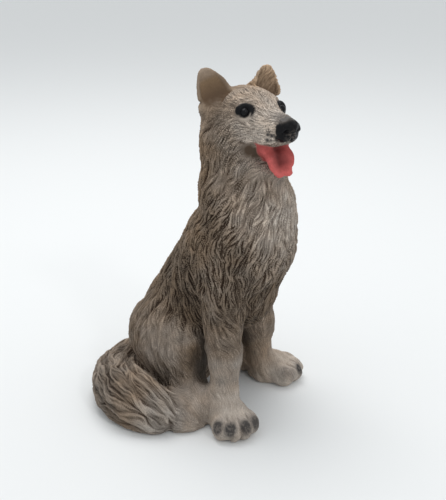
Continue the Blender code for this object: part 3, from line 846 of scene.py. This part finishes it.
def coat_material(settings):
    """Painted resin of the whole casting, from the zones that the carving stored."""
    material = bpy.data.materials.new("painted coat")
    material.use_nodes = True
    nodes = Nodes(material.node_tree)
    shader = material.node_tree.nodes["Principled BSDF"]
    link = material.node_tree.links.new
    light, middle, wash, black, red, tan = (
        (*getattr(settings, name), 1)
        for name in ("coat_light", "coat_middle", "coat_dark", "black", "red", "tan")
    )
    coat = nodes.add(
        "ShaderNodeGroup",
        {"Relief": nodes.attribute("relief"), "Wash": wash, "Coat": middle, "Crest": light},
        node_tree=bpy.data.node_groups["Brushed Paint"],
    )
    mottle = nodes.add("ShaderNodeGroup", {"Size": 420.0, "Amount": 0.4},
                       node_tree=bpy.data.node_groups["Paint Mottle"])
    speck = nodes.add("ShaderNodeGroup", {"Size": 2600.0, "Amount": 0.5},
                      node_tree=bpy.data.node_groups["Paint Mottle"])
    hair = nodes.add("ShaderNodeGroup", node_tree=bpy.data.node_groups["Fine Hair"])
    centred = nodes.math("SUBTRACT", hair.outputs[0], 0.5)
    furred = nodes.math("MULTIPLY", centred, nodes.attribute("fur"))
    uneven = nodes.math("MULTIPLY", mottle.outputs[0], speck.outputs[0])
    uneven = nodes.math("MULTIPLY", uneven, nodes.math("ADD", nodes.math("MULTIPLY", furred, 0.75), 1.0))
    # The stored tone holds the paint's brightness and the painted shade under the body
    shade = grey(nodes.math("MULTIPLY", uneven, nodes.attribute("tone")), nodes)
    tint = nodes.mix(nodes.attribute("warm"), (1, 1, 1, 1), WARM_TINT)
    colour = nodes.mix(1.0, nodes.mix(1.0, coat.outputs[0], tint, "MULTIPLY"), shade, "MULTIPLY")
    patchy = grey(uneven, nodes)
    colour = nodes.mix(nodes.attribute("tan"), colour, nodes.mix(1.0, tan, patchy, "MULTIPLY"))
    # Painted shade at the root of the ear hollows
    colour = nodes.mix(nodes.attribute("root"), colour, EAR_ROOT_SHADE)
    colour = nodes.mix(nodes.attribute("pale"), colour, EAR_RIM)
    # Painted shade in the mouth gap, at its corner and along the lip crease
    colour = nodes.mix(nodes.attribute("gap"), colour, MOUTH_SHADE_BROWN)
    # Painted shade on the tongue's middle groove and root
    flesh = nodes.mix(nodes.attribute("tongue_shade"), red, TONGUE_SHADE_RED)
    colour = nodes.mix(nodes.attribute("red"), colour, nodes.mix(1.0, flesh, patchy, "MULTIPLY"))
    colour = nodes.mix(nodes.attribute("dusk"), colour, DUSK)
    colour = nodes.mix(nodes.attribute("black"), colour, black)
    link(colour, shader.inputs["Base Color"])
    shader.inputs["Specular IOR Level"].default_value = COAT_SHEEN
    rough = nodes.add(
        "ShaderNodeMapRange",
        {"Value": nodes.attribute("gloss"), "To Min": COAT_ROUGHNESS, "To Max": WET_ROUGHNESS},
        clamp=True,
    )
    link(rough.outputs[0], shader.inputs["Roughness"])
    bump = nodes.add(
        "ShaderNodeBump", {"Height": furred, "Strength": 0.8, "Distance": 0.10 * MM,
                           "Normal": grain_bump(nodes, 0.3, 0.05 * MM)}
    )
    link(bump.outputs[0], shader.inputs["Normal"])
    return material


def eye_material(settings):
    """Wet-looking black of the eyeballs, a little uneven like brushed lacquer."""
    material = bpy.data.materials.new("glossy eye")
    material.use_nodes = True
    nodes = Nodes(material.node_tree)
    shader = material.node_tree.nodes["Principled BSDF"]
    shader.inputs["Base Color"].default_value = (*settings.black, 1)
    shader.inputs["Roughness"].default_value = EYE_ROUGHNESS
    shader.inputs["Specular IOR Level"].default_value = EYE_SHEEN
    material.node_tree.links.new(grain_bump(nodes, 0.08, 0.02 * MM), shader.inputs["Normal"])
    return material


class FIGURINE_OT_coat(bpy.types.Operator):
    """Carve the fine coat and the face on the casting and paint it"""

    bl_idname = "figurine.coat"
    bl_label = "Carve and Paint Coat"

    def execute(self, context):
        settings = context.scene.figurine
        body = fine_casting(settings)
        surface = Surface(body.data)
        zones = Zones(surface)
        shaped(surface, zones)
        carve(surface, zones, settings)
        put_places(body.data, surface.places)
        paint(body.data, surface, zones)
        body.data.materials.clear()
        body.data.materials.append(coat_material(settings))
        for piece in parted(body):
            piece.data.shade_smooth()
            hand_over(piece)
        return {"FINISHED"}


def hand_over(piece):
    """The piece stands for the casting and goes where it goes."""
    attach(piece, "root")
    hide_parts(CASTING)


def fine_casting(settings):
    """An even, finely faceted copy of the casting."""
    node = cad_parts[CASTING]
    body = bpy.data.objects.new("coat", node.data.copy())
    bpy.context.collection.objects.link(body)
    only(body)
    bpy.ops.object.mode_set(mode="EDIT")
    bpy.ops.mesh.select_all(action="SELECT")
    bpy.ops.mesh.remove_doubles(threshold=1e-6)
    bpy.ops.object.mode_set(mode="OBJECT")
    finished(body, "SUBSURF", levels=2, render_levels=2)
    finished(body, "REMESH", mode="VOXEL", voxel_size=settings.grain)
    finished(body, "SMOOTH", factor=0.5, iterations=5)
    return body


def carve(surface, zones, settings):
    """Raises strands and fine hairs along the lie of the coat, and cuts the face's features."""
    way = lie_of_coat(surface)
    surface.way = way
    ahead, behind = surface.stepped(way, HAIR_STEP), surface.stepped(way, -HAIR_STEP)
    pitch = settings.strand_pitch / MM
    seed = settings.seed
    broad = brushed(surface.noise_at(2.6 * pitch, seed + 3), ahead, behind, 16)
    wide = brushed(surface.noise_at(pitch, seed), ahead, behind, 8)
    mid = brushed(surface.noise_at(0.72 * pitch, seed + 1), ahead, behind, 5)
    fine = brushed(surface.noise_at(0.62 * pitch, seed + 2), ahead, behind, 2)
    short = brushed(surface.noise_at(0.5 * pitch, seed + 4), ahead, behind, 1)
    fine += (short - fine) * zones.short
    strands = bell(wide, 0.42)
    strands = np.maximum(strands, 0.8 * bell(mid, 0.40))
    locks = bell(broad, 0.6)
    strands = strands * (1 - 0.8 * zones.tail) + 1.5 * locks * zones.tail
    base = smooth(0.2, 2.0, surface.places[:, 2])
    coarse = np.maximum(zones.strand, 0.8 * zones.fluff) * (1 - zones.bare) * (0.3 + 0.7 * base)
    cut = 0.25 + 0.6 * smooth(0.3, 0.8, zones.strand) * (1 - 0.6 * zones.tail)
    hairs = np.tanh(0.9 * fine) - cut * bell(mid, 0.26)
    hair = (1 - zones.bare) * (1 - 0.45 * coarse) * (0.25 + 0.75 * base)
    hair *= (1 - 0.45 * zones.paw) * (1 - 0.35 * zones.short * (1 - zones.face))
    rise = settings.strand_height / MM * coarse * (strands - 0.45)
    rise += settings.hair_height / MM * hair * (hairs + 0.25)
    rise += carved_face(surface, zones)
    rise += 0.06 * surface.noise_at(0.9, 21) * zones.ear
    surface.strands = (strands - 0.45) * coarse
    surface.hairs = hairs * hair
    surface.places += surface.normals * (rise * smooth(0.0, 0.8, surface.places[:, 2]))[:, None]
    surface.places[:, 2] = np.maximum(surface.places[:, 2], 0)


def shaped(surface, zones):
    """Rounds the tongue's tip and lets the ears run into the head."""
    x, y, z = surface.local.T
    low = (smooth(-8.6, -10.8, z) * smooth(-11.0, -11.8, y) * smooth(6.0, 5.0, np.abs(x)))[:, None]
    turn = np.array(head_matrix())[:3, :3]
    aside = (0.30 * (x - TONGUE_ASIDE) + 0.9)[:, None] * turn[:, 0]
    lift = 0.45 * smooth(-10.4, -11.6, z)[:, None] * turn[:, 2]
    surface.places += low * (aside + lift)
    root = near(zones.folded, (-EAR_ROOT[0], EAR_ROOT[1], EAR_ROOT[2] - 0.6), 3.4)[:, None]
    surface.places += np.minimum(1, 1.6 * root) * (surface.softened(surface.places, 45) - surface.places)
    below = near(zones.folded * (1, 1, 0.7), (-9.0, 3.6, 2.0), 2.1)[:, None]
    surface.places += 1.3 * below * surface.normals


def carved_face(surface, zones):
    """How far the eye sockets, nose, mouth, tongue, ears and claws stand out or in."""
    folded = zones.folded
    x, y, z = folded.T
    socket = -0.45 * smooth(1.45, 1.1, zones.from_ball) * zones.near_eye
    upper = bell(zones.from_ball - 1.7, 0.3) * (0.14 + 0.16 * smooth(-0.2, 0.8, zones.eye_up))
    crease = -0.16 * bell(zones.from_ball - 2.5, 0.3) * smooth(0.0, 1.0, zones.eye_up)
    eyes = socket + (upper + crease) * zones.near_eye
    nostril = 0.3 * near(folded, NOSTRIL, 1.3) - 1.3 * near(folded, NOSTRIL, 0.75)
    nostril -= 0.55 * near(folded, NOSTRIL_SLIT, 0.6)
    split = -0.35 * bell(x, 0.24) * smooth(-0.7, -1.3, z) * smooth(-15.4, -16.0, y)
    seam = -0.2 * bell(y + 13.95, 0.3) * smooth(-3.2, -2.4, z) * zones.face
    leather = (0.09 * surface.noise_at(0.55, 22) + 0.12 * surface.noise_at(1.1, 24)) * zones.nose
    nose = (nostril + split) * zones.face + seam + leather
    across, along = np.abs(zones.tongue_across), zones.tongue_along
    dish = 0.18 * bell(across - 0.82, 0.16) - 0.32 * bell(across, 0.30)
    tongue = (dish * smooth(0.25, 0.5, along) + 0.04 * surface.noise_at(0.8, 23)) * zones.tongue
    tongue += 0.18 * zones.tongue * np.maximum(smooth(0.7, 1.0, across), smooth(0.85, 0.95, along))
    groove = -0.25 * bell(across, 0.42) * smooth(0.1, 0.3, along)
    tongue += groove * smooth(0.95, 0.75, along) * zones.tongue
    ears = (-0.5 * zones.hollow + 0.12 * zones.rim) * smooth(1.05, 0.95, zones.ear_height)
    whiskers = -0.12 * zones.dots
    lip = -0.22 * zones.lip * zones.face
    claws = 0.12 * zones.claw - 0.3 * zones.toes
    return eyes + nose + tongue + ears + whiskers + lip + claws


def paint(mesh, surface, zones):
    """Stores the zones and the relief that the paint follows."""
    places = surface.places
    mean = surface.softened(places, 8)
    cavity = ((places - mean) * surface.normals).sum(axis=1)
    mean = surface.softened(places, 60)
    broad = ((places - mean) * surface.normals).sum(axis=1)
    contrast = np.clip(1.55 - 0.5 * zones.tone, 0.75, 1.3) * (1 - 0.35 * zones.short * (1 - zones.face))
    contrast *= 1 - 0.4 * smooth(0.7, 1.1, zones.tone)
    contrast *= (1 - 0.25 * zones.tail) * (1 + 0.6 * zones.fluff)
    contrast *= 1 - 0.6 * zones.ear * (1 - zones.fluff)
    relief = 0.34 * surface.strands + 0.13 * surface.hairs + 1.1 * cavity + 0.32 * np.tanh(broad / 0.45)
    store(mesh, "fur", (1 - zones.bare) * (0.8 + 1.1 * zones.face - 0.3 * zones.paw - 0.3 * zones.tail))
    ways = mesh.attributes.new("way", "FLOAT_VECTOR", "POINT")
    ways.data.foreach_set("vector", surface.way.astype(np.float32).ravel())
    store(mesh, "relief", np.clip(0.5 + contrast * relief, 0, 1))
    wander = 0.20 * surface.noise_at(4.5, 31) + 0.14 * surface.noise_at(2.0, 32)
    tone = zones.tone * (1 + wander)
    # Painted shade: the tone is up to 35 % darker on surfaces that face downwards, from about 3 mm above
    # the floor up
    underside_shade = smooth(-0.2, -0.8, surface.normals[:, 2]) * smooth(3, 8, surface.body[:, 2])
    tone *= (1 - 0.35 * underside_shade) * (1 + 0.25 * zones.fluff)
    store(mesh, "tone", np.clip(tone, 0.1, 2))
    store(mesh, "warm", np.clip(zones.warm + 0.5 * zones.fluff + 0.25 * surface.noise_at(3.0, 33), 0, 1))
    tan = zones.ear * (1 - 0.7 * zones.fluff) * np.maximum(0.35, zones.hollow)
    store(mesh, "tan", tan * smooth(1.15, 0.6, zones.ear_height))
    # Painted shade: the ear hollows darken towards their root
    store(mesh, "root", zones.hollow * smooth(0.75, 0.05, zones.ear_height))
    store(mesh, "pale", np.clip(0.75 * zones.rim * smooth(0.3, 0.8, zones.ear_height), 0, 1))
    black = np.maximum(zones.eye, zones.nose)
    face_smudges = (0.75 * zones.bridge, 0.8 * zones.stipple, 0.95 * zones.dots)
    dusk = np.maximum.reduce([*face_smudges, zones.claw, 0.35 * zones.toes])
    rubbed = (1 - 0.75 * zones.lid) * (1 - 0.6 * zones.worn)
    store(mesh, "black", np.maximum(black, 0.45 * zones.claw) * rubbed)
    store(mesh, "dusk", np.maximum(dusk * (1 - black), zones.worn))
    # Painted shade in the mouth gap, at its corner and along the lip crease
    store(mesh, "gap", np.clip(np.maximum(zones.mouth, 0.7 * zones.lip) * (1 - zones.nose), 0, 1))
    wet = 0.9 * zones.nose + 0.5 * zones.eye * (1 - zones.nose)
    store(mesh, "gloss", np.maximum(wet, 0.45 * zones.tongue))
    store(mesh, "red", zones.tongue)
    along = zones.tongue_along
    # Painted shade: darker red down the tongue's middle groove and towards its root under the lip
    tongue_shade = bell(zones.tongue_across, 0.62) * smooth(0.76, 0.5, along)
    tongue_shade = np.maximum(tongue_shade, 0.45 * smooth(0.62, 0.4, along))
    store(mesh, "tongue_shade", np.clip(tongue_shade + 0.12 * surface.noise_at(1.2, 34), 0, 1))


CUT_SLACK = 1e-7  # far under the grain, so that each cut is flat and closes
CUTS = (
    ("feet", 0.0, 6.5),
    ("haunches", 6.5, 19.0),
    ("loins", 19.0, 38.0),
    ("chest", 38.0, 58.0),
    ("head", 58.0, 100.0),
)


def parted(body):
    """The casting as pieces that meet at level cuts."""
    pieces = []
    for name, low, high in CUTS:
        piece = body.copy()
        piece.data = body.data.copy()
        piece.name = name
        bpy.context.collection.objects.link(piece)
        only(piece)
        bpy.ops.object.mode_set(mode="EDIT")
        for level, above in ((low, False), (high, True)):
            if CAD_BOX[0][2] < level * MM < CAD_BOX[1][2]:
                bpy.ops.mesh.select_all(action="SELECT")
                bpy.ops.mesh.bisect(
                    plane_co=(0, 0, level * MM), plane_no=(0, 0, 1), use_fill=True,
                    clear_inner=not above, clear_outer=above, threshold=CUT_SLACK,
                )
                bpy.ops.mesh.mark_sharp()
        bpy.ops.object.mode_set(mode="OBJECT")
        pieces.append(piece)
    bpy.data.objects.remove(body)
    return pieces


class FIGURINE_OT_eyes(bpy.types.Operator):
    """Seat the two glossy eyeballs in their sockets"""

    bl_idname = "figurine.eyes"
    bl_label = "Seat Eyes"

    def execute(self, context):
        material = eye_material(context.scene.figurine)
        for name, side in (("right_eye", 1), ("left_eye", -1)):
            place = from_head((EYEBALL[0] * side, EYEBALL[1], EYEBALL[2]))
            eye = eyeball(name, place)
            eye.data.materials.append(material)
            hand_over(eye)
        return {"FINISHED"}


def eyeball(name, place):
    """A ball with a raised middle in front and a short stem behind, at its place in the head."""
    bpy.ops.object.select_all(action="DESELECT")
    bpy.ops.mesh.primitive_uv_sphere_add(segments=32, ring_count=16, radius=EYEBALL_RADIUS * MM)
    eye = bpy.context.object
    eye.name = name
    bpy.ops.object.mode_set(mode="EDIT")
    form = bmesh.from_edit_mesh(eye.data)
    for face in form.faces:
        face.select = face.calc_center_median().z < -0.85 * EYEBALL_RADIUS * MM
    bmesh.update_edit_mesh(eye.data)
    stem = (0, 0, -0.5 * EYEBALL_RADIUS * MM)
    bpy.ops.mesh.extrude_region_move(TRANSFORM_OT_translate={"value": stem})
    bpy.ops.mesh.select_all(action="DESELECT")
    form = bmesh.from_edit_mesh(eye.data)
    for face in form.faces:
        face.select = face.calc_center_median().z > 0.80 * EYEBALL_RADIUS * MM
    bmesh.update_edit_mesh(eye.data)
    bpy.ops.mesh.inset(thickness=0.06 * MM, depth=0.05 * MM)
    bpy.ops.object.mode_set(mode="OBJECT")
    finished(eye, "SUBSURF", levels=2, render_levels=2)
    # The ball's own +Z, where the raised middle lies, looks out of the socket
    away = Vector(place) - head_matrix() @ Vector((0, 0, EYEBALL[2] - 0.5))
    turn = away.to_track_quat("Z", "Y").to_matrix().to_4x4()
    eye.data.transform(Matrix.Translation(Vector(place) * MM) @ turn)
    eye.data.shade_smooth()
    return eye


class FIGURINE_OT_stage(bpy.types.Operator):
    """Set the pale floor, the backdrop, the soft lamps and the camera"""

    bl_idname = "figurine.stage"
    bl_label = "Set the Stage"

    def execute(self, context):
        scene = context.scene
        settings = scene.figurine
        scene.view_settings.view_transform = "Standard"
        floor = make_floor()
        lamps(scene, settings)
        camera(scene)
        return {"FINISHED"}


FLOOR_WIDTH = 8.0
FLOOR_DROP = 0.02 * MM
FLOOR_PAINT = (0.80, 0.815, 0.82, 1)
SKY = (0.97, 0.99, 1.0, 1)
SKY_STRENGTH = 0.80
LAMP_AIM = (0, 0, 0.03)
SENSOR = 24.0


def make_floor():
    """A wide, plain pale floor."""
    bpy.ops.object.select_all(action="DESELECT")
    bpy.ops.mesh.primitive_plane_add(size=FLOOR_WIDTH, location=(0, 0, -FLOOR_DROP))
    floor = bpy.context.object
    floor.name = "floor"
    material = bpy.data.materials.new("pale floor")
    material.use_nodes = True
    shader = material.node_tree.nodes["Principled BSDF"]
    shader.inputs["Base Color"].default_value = FLOOR_PAINT
    shader.inputs["Roughness"].default_value = 0.9
    shader.inputs["Specular IOR Level"].default_value = 0.1
    floor.data.materials.append(material)
    return floor


# The lamps: name, place in millimetres, width in metres, watts at a lamp setting of one, and colour
LAMPS = (
    ("overhead lamp", (80.0, 120.0, 420.0), 0.32, 0.80, (1.0, 0.99, 0.98)),
    ("window glint", (-90.0, -300.0, 300.0), 0.05, 0.14, (1.0, 1.0, 1.0)),
)


def lamps(scene, settings):
    """An even sky and the lamps, all looking at the figure."""
    world = bpy.data.worlds.new("studio")
    scene.world = world
    world.use_nodes = True
    background = world.node_tree.nodes["Background"]
    background.inputs[0].default_value = SKY
    background.inputs[1].default_value = SKY_STRENGTH
    for name, place, width, watts, colour in LAMPS:
        lamp = bpy.data.lights.new(name, "AREA")
        lamp.shape = "DISK"
        lamp.size = width
        lamp.energy = watts * settings.lamp
        lamp.color = colour
        holder = bpy.data.objects.new(name, lamp)
        scene.collection.objects.link(holder)
        holder.location = Vector(place) * MM
        holder.rotation_mode = "QUATERNION"
        holder.rotation_quaternion = (Vector(LAMP_AIM) - holder.location).to_track_quat("-Z", "Y")


def camera(scene):
    data = bpy.data.cameras.new("camera")
    holder = bpy.data.objects.new("camera", data)
    scene.collection.objects.link(holder)
    data.sensor_fit = "VERTICAL"
    data.sensor_height = SENSOR
    data.lens = SENSOR * FOCAL_PIXELS / IMAGE[1]
    data.shift_x = (IMAGE[0] / 2 - IMAGE_MIDDLE[0]) / IMAGE[1]
    data.shift_y = (IMAGE_MIDDLE[1] - IMAGE[1] / 2) / IMAGE[1]
    data.clip_start = 0.001
    holder.location = camera_place() * MM
    holder.rotation_mode = "QUATERNION"
    holder.rotation_quaternion = camera_turn()
    scene.camera = holder


class FIGURINE_PT_panel(bpy.types.Panel):
    """Lists the figurine's settings and the steps that build it"""

    bl_idname = "FIGURINE_PT_panel"
    bl_label = "Husky Puppy Figurine"
    bl_space_type = "VIEW_3D"
    bl_region_type = "UI"
    bl_category = "Figurine"

    def draw(self, context):
        settings = context.scene.figurine
        for name in FigurineSettings.__annotations__:
            self.layout.prop(settings, name)
        for operator in STEPS:
            self.layout.operator(operator.bl_idname)


STEPS = (FIGURINE_OT_stage, FIGURINE_OT_coat, FIGURINE_OT_eyes)
CLASSES = (FigurineSettings, *STEPS, FIGURINE_PT_panel)


def register():
    for one in CLASSES:
        bpy.utils.register_class(one)
    bpy.types.Scene.figurine = PointerProperty(type=FigurineSettings)


def unregister():
    del bpy.types.Scene.figurine
    for one in reversed(CLASSES):
        bpy.utils.unregister_class(one)


def main():
    register()
    brushed_paint_group()
    mottle_group()
    hair_group()
    for step in STEPS:
        family, name = step.bl_idname.split(".")
        getattr(getattr(bpy.ops, family), name)()


if __name__ == "__main__":
    main()
